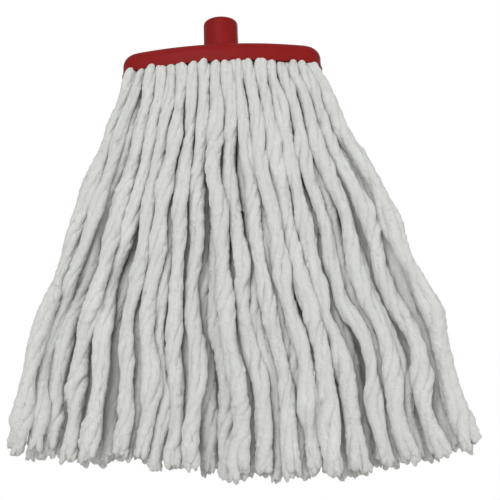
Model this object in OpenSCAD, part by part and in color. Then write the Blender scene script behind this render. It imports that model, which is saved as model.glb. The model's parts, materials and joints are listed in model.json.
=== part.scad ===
// String mop head: an oval plastic cap with a handle socket, a clamp plate screwed up inside it,
// and cotton yarn folded over the plate so that both ends of every length hang from the mouth.
// Millimetres, +Z up. The origin is on the handle socket's axis, level with the top of the deck.

/* [Cap] */
// Radius of the cap's two ends, seen from above. The cap is 134.4 mm longer and 19.2 mm deeper.
end_r = 19; // [18:0.5:20]
// Height of the skirt, from the deck down to the rim
skirt_h = 19; // [18:0.5:24]
// Wall thickness of the deck and skirt
wall = 2.4; // [2:0.1:3]
// Radius that rounds the deck into the skirt
shoulder_r = 9; // [5:0.5:9.5]
// How far the bead round the rim stands proud
bead = 0.9; // [0.5:0.1:1.2]

/* [Handle socket] */
// Height of the socket above the deck
socket_h = 30; // [26:0.5:44]
// Outer diameter of the socket at its mouth
socket_d = 30; // [27.5:0.5:32]
// Diameter of the hole that takes the handle
bore_d = 24; // [21:0.5:24]

/* [Clamp] */
// Gap between the clamp plate's edge and the skirt, which the folded yarn fills
yarn_gap = 8; // [7.6:0.1:8.4]
// Thickness of the clamp plate
plate_t = 3.6; // [3:0.1:3.8]

/* [Yarn] */
// Length of yarn that hangs below the rim
yarn_len = 327; // [240:1:380]
// Overall width of the fan of yarn at its tips
fan_w = 344; // [300:1:360]
// Overall depth of the yarn at its tips
fan_d = 74; // [66:1:90]
// Radius of one strand at its cut end
tip_r = 5; // [3.5:0.1:5.2]

/* [Hidden] */
$fn = 64;
LOCKS = 9;            // groups of strands across the cap, each of which swings as one
COLUMNS = 2 * LOCKS;  // columns of folded yarn across the cap
LOCKS_A_GROUP = 3;    // locks between one screw boss and the next
slack = 0.2;          // gap between neighbours that press together on the real object

// The cap's outline is two side arcs and two end arcs. Their centres make right triangles of
// 7, 24 and 25 parts, so that each arc runs smoothly into the next.
end_c = 67.2;         // the end arcs' centres are at +/- this x
side_c = 230.4;       // the side arcs' centres are at +/- this y
side_r = end_r + 240;

bead_h = 1.6;
base_flare = 0.3;     // the socket is this much bigger in radius where it meets the deck
mouth_r = 2;          // rounds the socket's outer edge
mouth_chamfer = 0.8;  // leads the handle into the socket

boss_r = 3.5;
pilot_r = 1.5;
screw_r = 1.45;
screw_clear_r = 1.9;
head_r = 3.4;
head_h = 2.2;
screw_point = 3;
recess_w = 0.9;
recess_span = 4;
recess_depth = 1.3;

column_w = 7.6;       // width of one folded length of yarn
column_pitch = 7.9;
fold_t = 3.6;         // thickest that a folded length of yarn is pressed
fold_end = -skirt_h - 1;
hinge_z = -skirt_h - 5;  // height at which the hanging yarn starts to swing
rod_len = yarn_len - 5;

plate_top = -wall - 2 * fold_t - 3 * slack;
plate_inset = wall + yarn_gap;
screw_x = LOCKS_A_GROUP * column_pitch + boss_r + slack / 2;

// Half the cap's depth at x, for an outline set in from the outside of the skirt.
function half_depth(x, inset) =
    abs(x) < (side_r - inset) * 0.28
        ? sqrt(pow(side_r - inset, 2) - x * x) - side_c
        : sqrt(max(0, pow(end_r - inset, 2) - pow(abs(x) - end_c, 2)));

// Middle of column c, counted from the left. The screw bosses push the outer groups apart.
function column_x(c) =
    (c - (COLUMNS - 1) / 2) * column_pitch
    + (floor(c / (2 * LOCKS_A_GROUP)) - 1) * (2 * boss_r + slack);
function inner_edge(c) = max(0, abs(column_x(c)) - column_w / 2);
function outer_edge(c) = abs(column_x(c)) + column_w / 2;

// The end columns hold one length of yarn, and the others two, one nested over the other.
function rows_in(c) = (c == 0 || c == COLUMNS - 1) ? 1 : 2;
// Half the depth inside column c's folds, which the clamp plate fills.
function core(c) = half_depth(inner_edge(c), plate_inset) + slack;
function leg_t(c) =
    min(fold_t, (half_depth(outer_edge(c), wall) - core(c) - slack) / rows_in(c) - slack);
// Distance from the middle to the centre of a leg in row r of column c.
function leg_y(c, r) = core(c) + leg_t(c) / 2 + r * (leg_t(c) + slack);

// Where the same leg ends up at its tip. Every length of yarn is as long as the others.
function tip_x(c) = (2 * c / (COLUMNS - 1) - 1) * (fan_w / 2 - tip_r);
function tip_y(r) = r == 0 ? 0.27 * fan_d : fan_d / 2 - tip_r;

// How much a fold's outer corner is cut back from its inner one.
function bend_cut(t) = 0.6 * t + 0.4;
// How much the outer row's corner is cut back, which also keeps it clear of the cap's shoulder.
function shoulder_cut(t) = max(2 * bend_cut(t), 0.8 * (shoulder_r - wall));
// The mirror image of a run of points, in the opposite order.
function flipped(points) = [for (i = [len(points) - 1:-1:0]) [-points[i].x, points[i].y]];

module quarter(r) {
    intersection() {
        circle(r);
        square(r);
    }
}

// Sweeps a section round the cap. The section's x is measured out from the skirt's outside.
module oval_sweep() {
    for (s = [0, 180]) rotate(s) {
        intersection() {
            translate([0, side_c]) rotate_extrude($fn = 720) translate([side_r, 0]) children();
            translate([0, 0, -50]) linear_extrude(100)
                polygon([[0, side_c], [-2 * end_c, -side_c], [2 * end_c, -side_c]]);
        }
        intersection() {
            translate([end_c, 0]) rotate_extrude() translate([end_r, 0]) children();
            translate([0, 0, -50]) linear_extrude(100)
                polygon([[end_c, 0], [end_c + 14, -48], [end_c + 60, 0], [end_c + 14, 48]]);
        }
    }
}

module quarter_ring(r, t) {
    difference() {
        quarter(r);
        circle(r - t);
    }
}

// A flat oval with its edge set in from the skirt's outside: a swept rim, filled in the middle.
module oval_plate(inset, t) {
    rim = end_r - inset - 1;
    mid_y = half_depth(0, inset + rim / 3);
    end_y = half_depth(end_c, inset + rim / 3);
    oval_sweep() translate([-inset - rim, 0]) square([rim, t]);
    linear_extrude(t)
        polygon([
            [-end_c, -end_y], [0, -mid_y], [end_c, -end_y],
            [end_c, end_y], [0, mid_y], [-end_c, end_y]
        ]);
}

module shell() {
    oval_sweep() {
        translate([-shoulder_r, -shoulder_r]) quarter_ring(shoulder_r, wall);
        translate([-wall, -skirt_h]) square([wall, skirt_h - shoulder_r]);
        translate([0, -skirt_h]) square([bead, bead_h]);
    }
    translate([0, 0, -wall]) oval_plate(shoulder_r, wall);
}

module socket() {
    top_r = socket_d / 2;
    straight = socket_h - mouth_r;
    rotate_extrude($fn = 128) {
        polygon([
            [0, -1], [top_r + base_flare, -1], [top_r + base_flare, 0],
            [top_r, straight], [0, straight]
        ]);
        translate([0, straight]) square([top_r - mouth_r, mouth_r]);
        translate([top_r - mouth_r, straight]) quarter(mouth_r);
        polygon([[top_r, 0], [top_r + 1.8, 0], [top_r + base_flare, 1.5], [top_r, 1.5]]);
    }
}

module bosses() {
    for (s = [-1, 1]) translate([s * screw_x, 0, plate_top])
        difference() {
            cylinder(h = -plate_top - wall + 0.5, r = boss_r);
            translate([0, 0, -1]) cylinder(h = -plate_top - wall + 1, r = pilot_r);
        }
}

module socket_cap() color("firebrick") {
    difference() {
        union() {
            shell();
            socket();
        }
        cylinder(h = socket_h + 1, d = bore_d, $fn = 128);
        translate([0, 0, socket_h - mouth_chamfer])
            cylinder(h = 2 * mouth_chamfer, d1 = bore_d, d2 = bore_d + 4 * mouth_chamfer, $fn = 128);
    }
    bosses();
}

module clamp_plate() color("whitesmoke") {
    translate([0, 0, plate_top - plate_t])
        difference() {
            oval_plate(plate_inset, plate_t);
            for (s = [-1, 1]) translate([s * screw_x, 0, -1]) cylinder(h = plate_t + 2, r = screw_clear_r);
        }
}

module screw() {
    under_head = plate_top - plate_t - slack / 4;
    shank = -wall - under_head - 1;
    translate([0, 0, under_head]) {
        cylinder(h = shank - screw_point, r = screw_r);
        translate([0, 0, shank - screw_point]) cylinder(h = screw_point, r1 = screw_r, r2 = 0.3);
    }
    difference() {
        translate([0, 0, under_head - head_h]) cylinder(h = head_h, r1 = head_r - 0.8, r2 = head_r);
        for (a = [0, 90]) rotate(a)
            translate([0, 0, under_head - head_h])
                cube([recess_span, recess_w, 2 * recess_depth], center = true);
    }
}

module clamp_screws() color("silver") {
    for (s = [-1, 1]) translate([s * screw_x, 0, 0]) screw();
}

// Column c's length of yarn in row r, folded over the plate. Its corners are cut at 45 degrees.
module fold(c, r) {
    t = leg_t(c);
    in_y = core(c) + r * (t + slack);
    out_y = in_y + t;
    in_z = plate_top + slack + r * (fold_t + slack);
    out_z = in_z + fold_t;
    in_cut = r * (bend_cut(t) + slack / 2);
    out_cut = r == 0 ? bend_cut(t) : shoulder_cut(t);
    outer = [[out_y, fold_end], [out_y, out_z - out_cut], [out_y - out_cut, out_z]];
    inner = r == 0
        ? [[in_y, in_z], [in_y, fold_end]]
        : [[in_y - in_cut, in_z], [in_y, in_z - in_cut], [in_y, fold_end]];
    translate([column_x(c) - column_w / 2, 0, 0]) rotate([90, 0, 90]) linear_extrude(column_w)
        polygon(concat(outer, flipped(outer), flipped(inner), inner));
}
// The folded yarn of lock k, pressed between the clamp plate and the cap.
module yarn_fold(k) color("gainsboro") {
    for (c = [2 * k - 2, 2 * k - 1], r = [0:rows_in(c) - 1]) fold(c, r);
}

// A straight strand that thickens as its twist opens towards the cut end.
module strand(from, to, r_from) {
    v = to - from;
    translate(from)
        rotate([0, acos(v.z / norm(v)), atan2(v.y, v.x)])
            cylinder(h = norm(v), r1 = r_from, r2 = tip_r);
}

// The hanging yarn of lock k, on the front (side -1) or the back (side 1).
module yarn_half(k, side) color("gainsboro") {
    for (c = [2 * k - 2, 2 * k - 1], r = [0:rows_in(c) - 1]) {
        dx = tip_x(c) - column_x(c);
        dy = tip_y(r) - leg_y(c, r);
        drop = sqrt(rod_len * rod_len - dx * dx - dy * dy);
        strand(
            [column_x(c), side * leg_y(c, r), hinge_z],
            [tip_x(c), side * tip_y(r), hinge_z - drop],
            leg_t(c) / 2 - 0.1
        );
    }
}

socket_cap();
clamp_plate();
clamp_screws();
for (k = [1:LOCKS]) {
    yarn_fold(k);
    yarn_half(k, -1);
    yarn_half(k, 1);
}
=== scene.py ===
"""Looks for the string mop head: settled cotton strands, moulded plastic, a plate and screws.

Lengths are in millimetres until a mesh is made, and in metres in the floor, the lights and the camera.
A strand is one hanging end of yarn. It runs from over the clamp plate, out under the rim and down to its
cut end. A lock is one of the nine bundles of strands that swing together.
"""

import json
import math

import bpy
import numpy as np
from mathutils import Matrix, Vector


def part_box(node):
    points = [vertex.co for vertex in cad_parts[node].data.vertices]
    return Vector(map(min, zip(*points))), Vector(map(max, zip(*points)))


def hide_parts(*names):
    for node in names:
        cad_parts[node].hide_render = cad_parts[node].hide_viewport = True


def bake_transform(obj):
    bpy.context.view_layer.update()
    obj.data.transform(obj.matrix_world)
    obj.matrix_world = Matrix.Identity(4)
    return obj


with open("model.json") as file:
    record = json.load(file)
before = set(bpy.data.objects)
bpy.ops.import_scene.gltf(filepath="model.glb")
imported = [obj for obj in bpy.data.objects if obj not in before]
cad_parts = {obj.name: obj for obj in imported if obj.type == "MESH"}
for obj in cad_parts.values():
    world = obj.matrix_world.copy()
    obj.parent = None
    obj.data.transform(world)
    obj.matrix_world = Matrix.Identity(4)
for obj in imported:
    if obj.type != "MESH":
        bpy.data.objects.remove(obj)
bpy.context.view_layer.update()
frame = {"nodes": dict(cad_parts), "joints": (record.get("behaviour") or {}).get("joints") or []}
RNG = np.random.default_rng(41)
TONES = np.random.default_rng(7)

MM_PER_M = 1000
TURN = 2 * math.pi
LOCKS = range(1, 10)
MIDDLE_LOCK = 5
FRONT, BACK = -1, 1
HALF = {FRONT: "front", BACK: "back"}
RING = 1.3     # between two rings of a finished ply
SIDES = 16      # corners round a ply
PLIES = 4                        # twisted together in a strand
FIBRE_TWIST = 14                 # length in which the fibres of a ply turn by one radian


# ---------------------------------------------------------------- what the frame says

def mm_box(node):
    """The lowest and the highest corner of a node's box."""
    low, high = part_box(node)
    return np.array(low) * MM_PER_M, np.array(high) * MM_PER_M


def corners(node):
    """Every corner of a node's mesh."""
    mesh = frame["nodes"][node].data
    return np.array([v.co for v in mesh.vertices], float) * MM_PER_M


def fold_legs(lock):
    """(x, distance from the middle, thickness, row) of each leg of a lock's folds, at its cut end."""
    same = 0.01          # corners closer than this are level with each other
    low = corners(f"yarn_fold_{lock}")
    low = low[low[:, 2] < low[:, 2].min() + same]
    xs = sorted(set(np.round(low[:, 0], 2)))
    legs = []
    for a, b in zip(xs[0::2], xs[1::2]):
        inside = (low[:, 0] > a - same) & (low[:, 0] < b + same)
        ys = sorted(set(np.round(np.abs(low[inside, 1]), 2)))
        for row, (near, far) in enumerate(zip(ys[0::2], ys[1::2])):
            row = 1 if len(ys) == 2 else row
            legs.append(((a + b) / 2, (near + far) / 2, far - near, row))
    return legs


HINGE = {j["child"]: np.array(j["pos_m"]) * MM_PER_M for j in frame["joints"]}
SWING = math.radians(max(j["range_deg"][1] for j in frame["joints"]))
PLATE_TOP = mm_box("clamp_plate")[1][2]
RIM = mm_box("socket_cap")[0][2]
FOLD_PITCH = (mm_box(f"yarn_fold_{MIDDLE_LOCK}")[1][2] - PLATE_TOP) / 2
TIP_LOW = min(mm_box(f"yarn_front_{k}")[0][2] for k in LOCKS)
FAN_HALF = max(mm_box(f"yarn_front_{k}")[1][0] for k in LOCKS)


# ---------------------------------------------------------------- small helpers

def smooth(a, b, v):
    """0 at a and 1 at b, with a smooth step between them. Either may be the larger."""
    t = np.clip((v - a) / (b - a), 0, 1)
    return t * t * (3 - 2 * t)


def wander(s, low, high, modes=5):
    """A smooth random curve over s, about 1 in size, with wavelengths between low and high."""
    lengths = RNG.uniform(low, high, modes)
    phases = RNG.uniform(0, TURN, modes)
    return np.sin(TURN * s[:, None] / lengths + phases).sum(1) / math.sqrt(modes / 2)


def spline(points, spacing):
    """Catmull-Rom curve through the points, sampled evenly, and how far along it each sample is."""
    parts = 8            # of each section, before the even sampling
    p = np.vstack([2 * points[0] - points[1], points, 2 * points[-1] - points[-2]])
    out = []
    for i in range(1, len(p) - 2):
        t = np.linspace(0, 1, parts, endpoint=False)[:, None]
        a, b, c, d = p[i - 1], p[i], p[i + 1], p[i + 2]
        out.append(0.5 * (2 * b + (c - a) * t + (2 * a - 5 * b + 4 * c - d) * t ** 2
                          + (3 * b - a - 3 * c + d) * t ** 3))
    dense = np.vstack(out + [p[-2:-1]])
    along = np.concatenate([[0], np.cumsum(np.linalg.norm(np.diff(dense, axis=0), axis=1))])
    n = max(3, int(along[-1] / spacing))
    s = np.linspace(0, along[-1], n)
    return np.column_stack([np.interp(s, along, dense[:, k]) for k in range(3)]), s


# ---------------------------------------------------------------- where the strands run

class Strand:
    """One hanging end of yarn: which it is, where its fold leaves the plate, and its relative size."""

    def __init__(self, side, lock, column, row, fold):
        self.side, self.lock, self.column, self.row = side, lock, column, row
        self.x, self.y, self.fold_thickness = fold
        self.size = RNG.uniform(0.86, 1.16)


def all_strands():
    """Every strand, by side and lock. Those of one column hang from one place along the cap."""
    strands = []
    for side in (FRONT, BACK):
        column = -1
        for lock in LOCKS:
            last_x = None
            for x, y, thickness, row in fold_legs(lock):
                if x != last_x:
                    column += 1
                    last_x = x
                strands.append(Strand(side, lock, column, row, (x, y, thickness)))
    return strands


STRANDS = all_strands()
COLUMNS = 1 + max(s.column for s in STRANDS)
MID = (COLUMNS - 1) / 2
SLACK = 27                       # strands lie in curves, so they are longer than the fan is high
HANG = RIM - TIP_LOW + SLACK
POINTS = 45                      # of a strand while it settles
STEP = HANG / (POINTS - 1)
ARC = np.arange(POINTS) * STEP   # distance below the rim, along the strand
SHARE = ARC / ARC[-1]            # the same, from 0 at the rim to 1 at the tip

KNOB_PITCH = 9.15                # between strands where they leave the rim
TIP_REACH = FAN_HALF + 5         # how far out the end strands' centres reach
TIP_SHIFT = 7.5                  # the fan lies a little to the right of the cap
SIDE_LIMIT = FAN_HALF + 18.5     # how far out to the sides a strand's surface may be
FAN_DEPTH = -min(mm_box(f"yarn_front_{k}")[0][1] for k in LOCKS)
DEPTH_LIMIT = FAN_DEPTH + 10     # the same, to the front and the back
LOOKED_AT_FROM = 700             # distance from which no slit goes right through the mop
SWAYING = smooth(8, 110, ARC)    # how free a strand is to sway sideways


def spread(column, share):
    """How much of its way out to the side a strand has gone, at a share of its way down. The left strands
    hang straight for longer than the right ones, and all of them bow outwards."""
    right = column / (COLUMNS - 1)
    straight = 0.17 - 0.10 * right
    bow = 0.16 + 0.04 * right
    return smooth(0, straight, share) * share * (1 + bow * (1 - share))


def lateral(column, share):
    """x of a column at a share of the way down."""
    top = (column - MID) * KNOB_PITCH
    tip = (column - MID) / MID * TIP_REACH + TIP_SHIFT
    return top + (tip - top) * spread(column, share)


def at_rim(strand):
    """How far a strand is from its even place along the rim, because of where its own fold is."""
    return (strand.x - (strand.column - MID) * KNOB_PITCH) * (1 - smooth(-5, 12, ARC))


LONG_WAVE = ((230, 400), 2.6)    # the lengths to choose from, and the size
SHORT_WAVE = ((110, 170), 1.3)
DRIFTS = [(RNG.uniform(*lengths), RNG.uniform(-0.75, 0.75), RNG.uniform(0, TURN), size)
          for lengths, size in (LONG_WAVE, LONG_WAVE, SHORT_WAVE, SHORT_WAVE)]


def drift(column):
    """Sideways waves that neighbouring strands share, so that they lie in bunches."""
    waves = [size * np.sin(TURN * ARC / length + lag * column + phase)
             for length, lag, phase, size in DRIFTS]
    return sum(waves) * SWAYING


def edges():
    """x of the ten borders between and beside the locks, at each point down a strand. A lock is two
    columns wide. The two outer borders stand well clear of the yarn."""
    clear = 30
    out = []
    for k in range(len(LOCKS) + 1):
        beyond = 0 if 0 < k < len(LOCKS) else math.copysign(clear, k - MIDDLE_LOCK)
        out.append(lateral(2 * k - 0.5, SHARE) + drift(2 * k - 0.5) + beyond)
    return np.array(out)


EDGES = edges()


def radius_at(arc):
    """Radius of a strand of average size. The yarn loosens on its way down, and again near the tip."""
    at_top, looser, looser_tip = 4.8, 1.1, 0.8
    share = arc / ARC[-1]
    return at_top + looser * smooth(0.0, 0.35, share) + looser_tip * smooth(0.5, 1.0, share)


def slots():
    """Where each strand ends up across its lock, from -1 to 1. The strands of a half lie side by side,
    and those of the other half behind the gaps between them."""
    used, past_gap, stray = 0.92, 0.25, 0.04
    out = {}
    for side in (FRONT, BACK):
        for k in LOCKS:
            own = [i for i, s in enumerate(STRANDS) if s.side == side and s.lock == k]
            lean = RNG.choice([-1, 1])
            own.sort(key=lambda i: (STRANDS[i].column, lean * STRANDS[i].row))
            n = len(own)
            for place, i in enumerate(own):
                even = (2 * place + 1 - n + past_gap * side) / n
                out[i] = even * used + RNG.uniform(-stray, stray)
    return out


SLOTS = slots()


def inner_limit(strand):
    """Least distance from the middle for a strand's surface, so that the two halves of a lock, which
    come closer as they swing, never meet. The gap between them is to the front in one lock and to the
    back in the next."""
    k = strand.lock
    reach = abs(HINGE[f"front_{k}"][1]) * (1 - math.cos(SWING))      # how much closer a half comes
    turn = 0 if k == MIDDLE_LOCK else (-1) ** k * (1 if k < MIDDLE_LOCK else -1)
    gap_at = turn * (0.9 * reach + 0.5) + 1.4 * np.sin(ARC / 38 + 2.1 * k)
    spare = 0.3
    return reach + spare + strand.side * gap_at


def aims():
    """Where each strand would run if nothing were in its way. Row 1 is the outer row of its half."""
    inside_rim = 1       # the paths start this far above the rim
    least_drop = 2       # height that a path loses in each step, at least
    half_strand = 7      # from the inner limit to the inner row's centres
    row_gap = 8          # from there to the outer row's centres, at least
    paths = []
    for i, s in enumerate(STRANDS):
        outside = s.column in (0, COLUMNS - 1)
        middle = 2 * s.lock - 1.5                        # of the lock's two columns
        step = 0 if outside else middle + SLOTS[i] - s.column
        x = lateral(s.column + step * smooth(0.02, 0.4, SHARE), SHARE) + at_rim(s)
        sway = wander(ARC, 190, 420, 3) * 1.5 + wander(ARC, 80, 170, 3) * 1.6
        x = x + drift(s.column) + sway * (0.5 if outside else 1) * SWAYING
        # Just below the rim the outer row bulges outwards, and the inner row tucks in behind it.
        out = 4.2 + RNG.uniform(-0.7, 0.9) if s.row else (2.5 if outside else -2.9)
        y_rim = s.y + out * smooth(0.5, 7, ARC)
        inner = inner_limit(s) + half_strand
        if s.row:
            y_tip = np.maximum(inner + row_gap, RNG.uniform(22, 31))
        else:
            y_tip = inner + RNG.uniform(-2, 3)
        reached = 0.6 if s.row else 0.24
        y = y_rim + (y_tip - y_rim) * smooth(0.02, reached, SHARE)
        y = y + wander(ARC, 110, 300, 3) * (2.6 if s.row else 1.6) * smooth(15, 120, ARC)
        drop = np.sqrt(np.maximum(STEP ** 2 - np.diff(x) ** 2 - np.diff(y) ** 2, least_drop ** 2))
        z = RIM + inside_rim - np.concatenate([[0], np.cumsum(drop)])
        paths.append(np.column_stack([x, s.side * y, z]))
    return np.array(paths)


def close_slits(p, r):
    """Draws strands together where daylight would show right through the mop from the front."""
    first_point = 10         # the strands above it hang side by side anyway
    opaque = 0.74            # part of a strand's radius that surely hides what is behind it
    pull = 0.25              # part of a slit that each of its two sides gives way by
    places = np.arange(len(p))
    for j in range(first_point, POINTS):
        scale = 1 + p[:, j, 1] / LOOKED_AT_FROM
        seen = p[:, j, 0] / scale
        order = np.argsort(seen)
        x, half = seen[order], opaque * r[order, j]
        right = np.maximum.accumulate(x + half)
        edge = np.maximum.accumulate(np.where(x + half >= right, places, 0))
        slit = pull * np.maximum(0, (x - half)[1:] - right[:-1])
        np.add.at(p[:, j, 0], order[edge[:-1]], slit)
        np.add.at(p[:, j, 0], order[1:], -slit)


def settle(aim):
    """Lets the strands push each other aside until they lie side by side, at their own length."""
    turns = 150
    fixed = 2                # points of each strand that the cap holds
    soft = 0.96              # of two radii together, where strands start to push each other
    furthest = 2.0           # one push, at most
    give = 0.6               # part of a push that a strand follows in one turn
    stiff = 0.12             # how much a strand straightens in one turn
    flat = 0.97              # part of its radius that a strand keeps clear of the inner limit
    p = aim.copy()
    side = np.array([s.side for s in STRANDS], float)[:, None]
    lock = np.array([s.lock for s in STRANDS])
    size = np.array([s.size for s in STRANDS])[:, None]
    hinge = np.array([HINGE[f"{HALF[s.side]}_{s.lock}"] for s in STRANDS])
    nearest = np.array([inner_limit(s) for s in STRANDS])
    hug = np.array([0.70 if s.row else 0.85 for s in STRANDS])[:, None]
    r = radius_at(ARC)[None] * size
    free = smooth(4, 45, ARC)[None]
    for turn in range(turns):
        ease = 0.16 * (1 - turn / turns) + 0.02
        p[:, fixed:] += ease * (aim - p)[:, fixed:]

        # apart from each other
        push = np.zeros_like(p)
        for shift in (0, 1, 2):
            upper, lower = p[:, : POINTS - shift], p[:, shift:]
            gap = upper[:, None] - lower[None]
            far = np.linalg.norm(gap, axis=3) + 1e-6
            want = soft * (r[:, None, : POINTS - shift] + r[None, :, shift:])
            over = np.maximum(0, want - far) * (1 - np.eye(len(p)))[:, :, None]
            move = (over / far)[..., None] * gap
            move[..., 2] = 0
            weight = 0.5 if shift == 0 else 0.25
            push[:, : POINTS - shift] += weight * move.sum(1)
            push[:, shift:] -= weight * move.sum(0)
        size_of = np.linalg.norm(push, axis=2, keepdims=True) + 1e-9
        push *= np.minimum(1, furthest / size_of) * free[..., None]
        p[:, fixed:] += give * push[:, fixed:]
        p[:, fixed:-1] += stiff * (0.5 * (p[:, fixed - 1:-2] + p[:, fixed + 1:]) - p[:, fixed:-1])
        close_slits(p, r)

        # within their own lock, at their own distance from the hinge, and within the limits
        away = np.hypot(p[..., 1] - hinge[:, None, 1], p[..., 2] - hinge[:, None, 2])
        for k in LOCKS:
            own = lock == k
            low = np.interp(away[own], ARC, EDGES[k - 1]) + hug[own] * r[own]
            high = np.interp(away[own], ARC, EDGES[k]) - hug[own] * r[own]
            middle = 0.5 * (low + high)
            p[own, :, 0] = np.clip(p[own, :, 0], np.minimum(low, middle), np.maximum(high, middle))
        depth = np.clip(p[..., 1] * side, nearest + flat * r, DEPTH_LIMIT - r)
        depth[:, :fixed] = (p[..., 1] * side)[:, :fixed]
        p[..., 1] = depth * side
        p[..., 0] = np.clip(p[..., 0], r - SIDE_LIMIT, SIDE_LIMIT - r)

        # back to their own length
        for j in range(fixed, POINTS):
            run = p[:, j] - p[:, j - 1]
            p[:, j] = p[:, j - 1] + run * (STEP / np.linalg.norm(run, axis=1, keepdims=True))
    return p


def full_path(s, hanging):
    """The settled strand, and before it the part that lies over the plate and is pressed in the cap."""
    single_row = 3.55        # a fold at least this thick has no other fold above or below it
    bend = 2.2               # radius at the plate's edge
    start_y = 0.4            # clear of the other half's strand
    pressed_to = -12.0       # height down to which the fold runs straight
    rows_up = s.row if s.fold_thickness < single_row or s.row == 0 else 0
    level = PLATE_TOP + FOLD_PITCH * (rows_up + 0.5)
    before = [(s.x, start_y, level), (s.x, 0.5 * s.y, level), (s.x, s.y - bend, level)]
    for a in (0.8, 1.57):
        before.append((s.x, s.y - bend * (1 - math.sin(a)), level - bend * (1 - math.cos(a))))
    before.append((s.x, s.y, pressed_to))
    before = np.array(before) * [1, s.side, 1]
    return np.vstack([before, hanging])


# ---------------------------------------------------------------- meshes

class Mesh:
    """Collects closed tubes into one mesh. Those added after a new tone is set share it."""

    def __init__(self):
        self.verts, self.faces, self.fibre, self.tones, self.count = [], [], [], [], 0
        self.tone = 0

    def tube(self, centre, across, outward, radii, twist, along):
        """A closed tube. radii is rings by sides; twist turns the fibre pattern along it."""
        grain = 3                # radius at which the fibre pattern is read
        rings, sides = radii.shape
        a = np.arange(sides) / sides * TURN
        ring = (np.cos(a)[None, :, None] * across[:, None]
                + np.sin(a)[None, :, None] * outward[:, None])
        v = centre[:, None] + ring * radii[..., None]
        phase = RNG.uniform(0, 100)
        turn = a[None] + twist[:, None]
        f = np.stack([grain * np.cos(turn), grain * np.sin(turn),
                      np.repeat((along + phase)[:, None], sides, 1)], 2)
        base = self.count
        grid = base + np.arange(rings * sides).reshape(rings, sides)
        nxt = np.roll(grid, -1, 1)
        quads = np.stack([grid[:-1], nxt[:-1], nxt[1:], grid[1:]], 2).reshape(-1, 4)
        first, last = base + rings * sides, base + rings * sides + 1
        fan_a = np.stack([nxt[0], grid[0], np.full(sides, first)], 1)
        fan_b = np.stack([grid[-1], nxt[-1], np.full(sides, last)], 1)
        self.verts.append(v.reshape(-1, 3))
        self.verts.append(np.array([centre[0], centre[-1]]))
        self.fibre.append(f.reshape(-1, 3))
        self.fibre.append(np.array([[0, 0, along[0] + phase], [0, 0, along[-1] + phase]]))
        self.tones.append(np.full(rings * sides + 2, self.tone))
        self.faces.append((quads, 4))
        self.faces.append((np.vstack([fan_a, fan_b]), 3))
        self.count += rings * sides + 2

    def make(self, name):
        """The finished object. Its fibre attribute places the streaks, and its tone sets the shade."""
        co = np.vstack(self.verts) / MM_PER_M
        loops = np.concatenate([f.ravel() for f, _ in self.faces])
        sizes = np.concatenate([np.full(len(f), n) for f, n in self.faces])
        starts = np.concatenate([[0], np.cumsum(sizes)[:-1]])
        mesh = bpy.data.meshes.new(name)
        mesh.vertices.add(len(co))
        mesh.vertices.foreach_set("co", co.astype(np.float32).ravel())
        mesh.loops.add(len(loops))
        mesh.loops.foreach_set("vertex_index", loops.astype(np.int32))
        mesh.polygons.add(len(sizes))
        mesh.polygons.foreach_set("loop_start", starts.astype(np.int32))
        mesh.polygons.foreach_set("use_smooth", np.ones(len(sizes), bool))
        fibre = mesh.attributes.new("fibre", "FLOAT_VECTOR", "POINT")
        fibre.data.foreach_set("vector", np.vstack(self.fibre).astype(np.float32).ravel())
        tone = mesh.attributes.new("tone", "FLOAT", "POINT")
        tone.data.foreach_set("value", np.concatenate(self.tones).astype(np.float32))
        mesh.update(calc_edges=True)
        mesh.validate()
        obj = bpy.data.objects.new(name, mesh)
        bpy.context.scene.collection.objects.link(obj)
        return obj


def lumps(s, sides, amount, low, high, modes=7):
    """Random swellings over a tube's surface, rings by sides, about `amount` in size."""
    a = np.arange(sides) / sides * TURN
    out = np.zeros((len(s), sides))
    for _ in range(modes):
        around = RNG.integers(0, 4)
        out += np.sin(around * a[None] + TURN * s[:, None] / RNG.uniform(low, high)
                      * RNG.choice([-1, 1]) + RNG.uniform(0, TURN))
    return amount * out / math.sqrt(modes / 2)


def frames(path):
    """Unit tangent, across (mostly along x) and outward vectors along a path."""
    t = np.gradient(path, axis=0)
    t /= np.linalg.norm(t, axis=1, keepdims=True)
    across = np.array([1.0, 0, 0]) - t[:, :1] * t
    across /= np.linalg.norm(across, axis=1, keepdims=True)
    return t, across, np.cross(t, across)


def shortened(along_cap):
    """How much shorter than the longest a strand is cut, by its place from the cap's left end, 0, to its
    right end, 1."""
    left = 3 + 11 * smooth(-0.05, 0.1, along_cap) * (1 - smooth(0.2, 0.5, along_cap))
    middle = 5 * smooth(0.05, 0.14, abs(along_cap - 0.73)) * (1 - smooth(0.82, 1, along_cap))
    return left * (1 - smooth(0.4, 0.6, along_cap)) + middle


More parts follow.
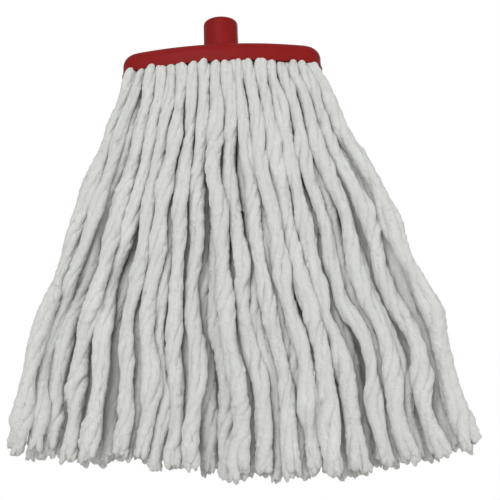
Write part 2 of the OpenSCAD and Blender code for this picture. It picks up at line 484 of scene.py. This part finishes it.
def add_strand(mesh, s, hanging):
    """Adds a strand's plies, their frayed ends and its loose fibres to the mesh."""
    squeezed = 7.5           # width of a strand inside the rim
    mesh.tone = TONES.uniform()
    path, along = spline(full_path(s, hanging), RING)
    total = along[-1]
    hang = along - (total - ARC[-1])                     # distance below the rim
    left = total - along                                 # distance from the cut end
    t, across, outward = frames(path)
    outward = outward * np.sign((outward * [0, s.side, 0]).sum(1).mean())

    size = radius_at(np.clip(hang, 0, None)) * s.size * (1 + 0.06 * wander(along, 45, 140))
    pressed = 1 - smooth(-0.5, 3.5, hang)
    wide = 1 + (squeezed / (2 * size) - 1) * pressed
    thick = 1 + (0.9 * s.fold_thickness / (2 * size) - 1) * pressed
    loose = smooth(34, 0, left)                          # 1 at the tip, where the plies part

    pitch = RNG.uniform(95, 170)
    turn = TURN * (along / pitch + 0.05 * wander(along, 60, 140)) + RNG.uniform(0, 6.28)
    turn -= 0.8 * loose
    # how far out the plies' centres lie, and how thick they are, in radii of the strand
    part = np.clip(0.36 + 0.12 * wander(along, 40, 120), 0.22, 0.66) + 0.24 * loose ** 1.5
    body = 0.68 - 0.10 * loose
    cut = RNG.uniform(0, 8) + shortened(s.column / (COLUMNS - 1))
    for k in range(PLIES):
        share = RNG.uniform(0.9, 1.08) + 0.06 * wander(along, 40, 110)
        a = turn + TURN * k / PLIES + 0.25 * wander(along, 40, 90)
        u = np.cos(a) * part * size * share * wide
        v = np.sin(a) * part * size * share * thick
        centre = path + u[:, None] * across + v[:, None] * outward
        keep = left > cut + RNG.uniform(0, 7)
        centre, n = centre[keep], int(keep.sum())
        end = left[keep] - left[keep][-1] + 0.2
        rounded = np.sqrt(np.clip(1 - (1 - np.clip(end / 4.0, 0, 1)) ** 2, 0.02, 1))
        blunt = rounded * (0.72 + 0.28 * smooth(0, 18, end))
        r = body[keep] * size[keep] * share[keep] * blunt
        radii = r[:, None] * (1 + lumps(along[keep], SIDES, 0.045, 4.5, 20))
        mesh.tube(centre, across[keep] * wide[keep, None], outward[keep] * thick[keep, None],
                  radii, along[keep] / FIBRE_TWIST, along[keep])
        tufts(mesh, centre, across[keep], outward[keep], t[keep], r, a[keep][-1], n)
    usable = np.nonzero((hang > 14) & (left > cut + 15))[0]
    loose_fibres(mesh, path, across, outward, t, size, usable)


def tufts(mesh, centre, across, outward, tangent, r, facing, n):
    """The frayed end of a ply: short blunt bunches that lean apart."""
    rings, corners_round = 11, 8
    for k in range(3):
        a = facing + RNG.uniform(-0.6, 0.6) + k * 2.1
        start = n - 1 - int(RNG.uniform(10, 17) / RING)
        base = centre[start]
        way = math.cos(a) * across[start] + math.sin(a) * outward[start]
        length = (n - 1 - start) * RING + RNG.uniform(-3.5, 3)
        s = np.linspace(0, 1, rings)
        lean = RNG.uniform(0.0, 0.16) * length
        c = (base + way * (0.35 * r[start] + lean * s[:, None] ** 2)
             + tangent[start] * (length * s)[:, None]
             + across[start] * (RNG.normal(0, 0.9) * s[:, None] ** 2))
        point = RNG.uniform(0.28, 0.6)
        shape = np.interp(s, [0, 0.15, 0.6, 0.9, 1], [0.3, 0.70, 0.70, point, 0.4 * point])
        shape = shape * r[start] * RNG.uniform(0.75, 1.1)
        radii = shape[:, None] * (1 + lumps(s * length, corners_round, 0.08, 4, 10))
        one = np.ones((rings, 1))
        mesh.tube(c, across[start] * one, outward[start] * one,
                  radii, s * length / FIBRE_TWIST, s * length)


def loose_fibres(mesh, path, across, outward, tangent, size, usable):
    """Hairs of cotton that stand off the strand."""
    hairs, rings, corners_round = 40, 6, 4
    for _ in range(hairs):
        i = RNG.choice(usable)
        a = RNG.uniform(0, TURN)
        way = math.cos(a) * across[i] + math.sin(a) * outward[i]
        length = RNG.uniform(4, 11)
        s = np.linspace(0, 1, rings)[:, None]
        c = (path[i] + way * (0.8 * size[i] + length * RNG.uniform(0.15, 0.4) * s)
             + tangent[i] * (length * RNG.uniform(0.2, 0.9) * s)
             + np.cross(way, tangent[i]) * (RNG.normal(0, 0.25) * length * s ** 2))
        radii = np.interp(s.ravel(), [0, 0.7, 1], [0.16, 0.11, 0.03])
        radii = radii[:, None] * np.ones((1, corners_round))
        one = np.ones((rings, 1))
        mesh.tube(c, across[i] * one, outward[i] * one, radii, s.ravel(), s.ravel())


# ---------------------------------------------------------------- materials

def material(name):
    """A new material, its node tree and its main shader."""
    m = bpy.data.materials.new(name)
    m.use_nodes = True
    tree = m.node_tree
    return m, tree, tree.nodes["Principled BSDF"]


def node(tree, kind, links=(), **values):
    """A new node, with its inputs or settings set by name and its inputs linked."""
    n = tree.nodes.new(kind)
    for key, value in values.items():
        if key in n.inputs:
            n.inputs[key].default_value = value
        else:
            setattr(n, key, value)
    for key, source in links:
        tree.links.new(source, n.inputs[key])
    return n


def noise(tree, vector, scale, detail, rough):
    """Noise from about 0 to 1. The scale is per metre, or per millimetre over the fibre attribute."""
    n = node(tree, "ShaderNodeTexNoise", [("Vector", vector)])
    n.inputs["Scale"].default_value = scale
    n.inputs["Detail"].default_value = detail
    n.inputs["Roughness"].default_value = rough
    return n.outputs["Fac"]


def ramp(tree, fac, stops):
    """A colour ramp over (position, colour) stops."""
    n = node(tree, "ShaderNodeValToRGB", [("Fac", fac)])
    n.color_ramp.elements[0].position, n.color_ramp.elements[0].color = stops[0]
    n.color_ramp.elements[1].position, n.color_ramp.elements[1].color = stops[-1]
    for position, color in stops[1:-1]:
        n.color_ramp.elements.new(position).color = color
    return n.outputs["Color"]


def bump(tree, height, strength, distance, normal=None):
    """A bump of a distance in millimetres, on top of another normal if there is one."""
    n = node(tree, "ShaderNodeBump", [("Height", height)])
    n.inputs["Strength"].default_value = strength
    n.inputs["Distance"].default_value = distance / MM_PER_M
    if normal is not None:
        tree.links.new(normal, n.inputs["Normal"])
    return n.outputs["Normal"]


def mix(tree, fac, a, b, blend="MIX"):
    """Colour b over colour a by fac. Each may be a value or a node's output."""
    n = tree.nodes.new("ShaderNodeMix")
    n.data_type, n.blend_type = "RGBA", blend
    for i, value in ((0, fac), (6, a), (7, b)):
        if hasattr(value, "is_output"):
            tree.links.new(value, n.inputs[i])
        else:
            n.inputs[i].default_value = value
    return n.outputs[2]


def gray(v):
    """A colour of equal parts."""
    return (v, v, v, 1)


def cotton():
    """Off-white cotton: streaks along each ply, soil in patches, and painted shade that darkens the
    hollows between strands and plies.
    """
    m, tree, shader = material("cotton_yarn")
    fibre = node(tree, "ShaderNodeAttribute", attribute_name="fibre").outputs["Vector"]
    place = node(tree, "ShaderNodeTexCoord").outputs["Object"]
    streak_at = node(tree, "ShaderNodeMapping", [("Vector", fibre)])
    streak_at.inputs["Scale"].default_value = (1, 1, 0.09)
    streaks = noise(tree, streak_at.outputs["Vector"], 1.5, 5, 0.65)
    tufty = noise(tree, fibre, 0.55, 4, 0.6)
    fuzz = noise(tree, place, 1900, 3, 0.7)
    soil = noise(tree, place, 34, 3, 0.55)
    each = node(tree, "ShaderNodeAttribute", attribute_name="tone").outputs["Fac"]

    color = ramp(tree, streaks, [(0.25, (0.56, 0.565, 0.535, 1)), (0.5, (0.68, 0.685, 0.655, 1)),
                                 (0.78, (0.76, 0.765, 0.74, 1))])
    soiled = ramp(tree, soil, [(0.35, gray(0)), (0.7, gray(0.5))])
    color = mix(tree, soiled, color, (0.54, 0.54, 0.50, 1))
    duller = ramp(tree, each, [(0, gray(0)), (1, gray(0.4))])
    color = mix(tree, duller, color, (0.60, 0.61, 0.59, 1))
    flecked = ramp(tree, fuzz, [(0.35, gray(0.25)), (0.6, gray(0))])
    color = mix(tree, flecked, color, (0.60, 0.60, 0.56, 1))
    # Painted shade: ambient occlusion darkens the base colour where strands and plies lie close together.
    painted_crevice_shade = node(tree, "ShaderNodeAmbientOcclusion", samples=6, Distance=0.006).outputs["AO"]
    shaded = ramp(tree, painted_crevice_shade, [(0.25, gray(0.82)), (0.85, gray(1))])
    color = mix(tree, 1.0, color, shaded, "MULTIPLY")
    tree.links.new(color, shader.inputs["Base Color"])

    normal = bump(tree, tufty, 0.8, 1.6)
    normal = bump(tree, streaks, 0.7, 0.9, normal)
    normal = bump(tree, fuzz, 0.4, 0.3, normal)
    tree.links.new(normal, shader.inputs["Normal"])
    shader.inputs["Roughness"].default_value = 0.95
    shader.inputs["Specular IOR Level"].default_value = 0.12
    shader.inputs["Sheen Weight"].default_value = 0.25
    shader.inputs["Sheen Roughness"].default_value = 0.6
    shader.inputs["Subsurface Weight"].default_value = 0.12
    shader.inputs["Subsurface Radius"].default_value = (1.0, 1.0, 0.9)
    shader.inputs["Subsurface Scale"].default_value = 0.0015
    return m


def red_plastic():
    """Moulded red plastic with a fine grain, slightly rubbed, with its edges softened."""
    m, tree, shader = material("red_cap_plastic")
    place = node(tree, "ShaderNodeTexCoord").outputs["Object"]
    grain = noise(tree, place, 900, 3, 0.6)
    flow = noise(tree, place, 28, 4, 0.55)
    rubbed_at = node(tree, "ShaderNodeMapping", [("Vector", place)])
    rubbed_at.inputs["Scale"].default_value = (1, 1, 5)
    rubbed = noise(tree, rubbed_at.outputs["Vector"], 160, 6, 0.7)
    color = ramp(tree, flow, [(0.3, (0.205, 0.005, 0.005, 1)), (0.7, (0.240, 0.007, 0.006, 1))])
    worn = ramp(tree, rubbed, [(0.56, gray(0)), (0.8, gray(0.22))])
    color = mix(tree, worn, color, (0.30, 0.035, 0.03, 1))
    tree.links.new(color, shader.inputs["Base Color"])
    rough = ramp(tree, rubbed, [(0.3, gray(0.44)), (0.75, gray(0.62))])
    tree.links.new(rough, shader.inputs["Roughness"])
    soft = node(tree, "ShaderNodeBevel", samples=6)
    soft.inputs["Radius"].default_value = 0.0006
    normal = bump(tree, grain, 0.12, 0.1, soft.outputs["Normal"])
    normal = bump(tree, flow, 0.10, 0.5, normal)
    tree.links.new(normal, shader.inputs["Normal"])
    shader.inputs["Specular IOR Level"].default_value = 0.13
    return m


def plate_plastic():
    """Pale moulded plastic, a little uneven in tone."""
    m, tree, shader = material("clamp_plate_plastic")
    place = node(tree, "ShaderNodeTexCoord").outputs["Object"]
    grain = noise(tree, place, 700, 4, 0.6)
    tone = noise(tree, place, 40, 3, 0.5)
    color = ramp(tree, tone, [(0.3, (0.55, 0.54, 0.50, 1)), (0.7, (0.64, 0.63, 0.59, 1))])
    tree.links.new(color, shader.inputs["Base Color"])
    tree.links.new(bump(tree, grain, 0.25, 0.15), shader.inputs["Normal"])
    shader.inputs["Roughness"].default_value = 0.6
    return m


def screw_steel():
    """Plain steel with fine turning marks."""
    m, tree, shader = material("screw_steel")
    place = node(tree, "ShaderNodeTexCoord").outputs["Object"]
    turned = node(tree, "ShaderNodeMapping", [("Vector", place)])
    turned.inputs["Scale"].default_value = (1, 1, 12)
    lines = noise(tree, turned.outputs["Vector"], 500, 3, 0.6)
    color = ramp(tree, lines, [(0.3, gray(0.42)), (0.7, gray(0.60))])
    tree.links.new(color, shader.inputs["Base Color"])
    rough = ramp(tree, lines, [(0.3, gray(0.28)), (0.7, gray(0.45))])
    tree.links.new(rough, shader.inputs["Roughness"])
    tree.links.new(bump(tree, lines, 0.2, 0.08), shader.inputs["Normal"])
    shader.inputs["Metallic"].default_value = 1
    return m


def paint(obj, m):
    """Gives an object one material and no other."""
    obj.data.materials.clear()
    obj.data.materials.append(m)


# ---------------------------------------------------------------- the object

paint(frame["nodes"]["socket_cap"], red_plastic())
paint(frame["nodes"]["clamp_plate"], plate_plastic())
paint(frame["nodes"]["clamp_screws"], screw_steel())

YARN = cotton()
settled = settle(aims())
for side, half in HALF.items():
    for lock in LOCKS:
        strands = Mesh()
        for strand, hanging in zip(STRANDS, settled):
            if (strand.side, strand.lock) == (side, lock):
                add_strand(strands, strand, hanging)
        piece = strands.make(f"strands_{half}_{lock}")
        paint(piece, YARN)
        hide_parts(f"yarn_fold_{lock}", f"yarn_{half}_{lock}")
        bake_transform(piece)


# ---------------------------------------------------------------- floor, light and camera

FLOOR_BELOW = 0.75       # from the tips down to the floor
FLOOR_GLOW = 0.36        # seen by the camera only, so that the floor is pale all over


def stage_floor():
    """A round floor, wide enough that its edge is never seen."""
    bpy.ops.mesh.primitive_circle_add(vertices=96, radius=11, fill_type="NGON",
                                      location=(0, 0, TIP_LOW / MM_PER_M - FLOOR_BELOW))
    floor = bpy.context.object
    floor.name = "floor"
    m, tree, shader = material("pale_floor")
    place = node(tree, "ShaderNodeTexCoord").outputs["Object"]
    color = ramp(tree, noise(tree, place, 6, 3, 0.5), [(0.3, gray(0.78)), (0.7, gray(0.82))])
    tree.links.new(color, shader.inputs["Base Color"])
    shader.inputs["Roughness"].default_value = 0.9
    shader.inputs["Emission Color"].default_value = gray(1)
    seen = node(tree, "ShaderNodeLightPath").outputs["Is Camera Ray"]
    glow = node(tree, "ShaderNodeMath", operation="MULTIPLY")
    tree.links.new(seen, glow.inputs[0])
    glow.inputs[1].default_value = FLOOR_GLOW
    tree.links.new(glow.outputs[0], shader.inputs["Emission Strength"])
    floor.data.materials.append(m)


def area_light(name, where, at, size, power):
    """A round soft light that faces a point."""
    data = bpy.data.lights.new(name, "AREA")
    data.shape, data.size, data.energy = "DISK", size, power
    light = bpy.data.objects.new(name, data)
    light.location = where
    light.rotation_euler = (Vector(at) - Vector(where)).to_track_quat("-Z", "Y").to_euler()
    bpy.context.scene.collection.objects.link(light)


def pale_world():
    """White where the camera sees it, and a softer light on everything else."""
    world = bpy.data.worlds.new("studio")
    bpy.context.scene.world = world
    world.use_nodes = True
    tree = world.node_tree
    seen = node(tree, "ShaderNodeBackground", Strength=1.0)
    seen.inputs["Color"].default_value = (1, 1, 1, 1)
    lit = node(tree, "ShaderNodeBackground", Strength=0.54)
    lit.inputs["Color"].default_value = (0.97, 0.985, 1, 1)
    path = node(tree, "ShaderNodeLightPath")
    pick = node(tree, "ShaderNodeMixShader", [("Fac", path.outputs["Is Camera Ray"])])
    tree.links.new(lit.outputs[0], pick.inputs[1])
    tree.links.new(seen.outputs[0], pick.inputs[2])
    tree.links.new(pick.outputs[0], tree.nodes["World Output"].inputs["Surface"])


def camera(target, distance, azimuth, elevation, roll, lens):
    """Looks at the target from a distance. The angles are in degrees, the lens in millimetres."""
    a, e = math.radians(azimuth), math.radians(elevation)
    back = Vector((math.sin(a) * math.cos(e), -math.cos(a) * math.cos(e), math.sin(e)))
    data = bpy.data.cameras.new("camera")
    data.lens, data.sensor_width = lens, 36
    data.clip_start, data.clip_end = 0.01, 50
    cam = bpy.data.objects.new("camera", data)
    turn = (-back).to_track_quat("-Z", "Y").to_matrix().to_4x4()
    place = Matrix.Translation(Vector(target) + back * distance)
    cam.matrix_world = place @ turn @ Matrix.Rotation(math.radians(roll), 4, "Z")
    bpy.context.scene.collection.objects.link(cam)
    bpy.context.scene.camera = cam


stage_floor()
pale_world()
LIT = (0, 0, -0.15)
area_light("key", where=(-0.35, -1.6, 0.2), at=LIT, size=1.1, power=15.7)
area_light("fill", where=(1.3, -1.2, -0.1), at=LIT, size=1.4, power=5.5)
area_light("rear", where=(0.3, 1.5, 0.5), at=LIT, size=1.2, power=17)
camera(target=(0.0183, 0, -0.1761), distance=0.7045,
       azimuth=0.9, elevation=-13.1, roll=-2.2, lens=61.2)
bpy.context.scene.view_settings.view_transform = "Standard"
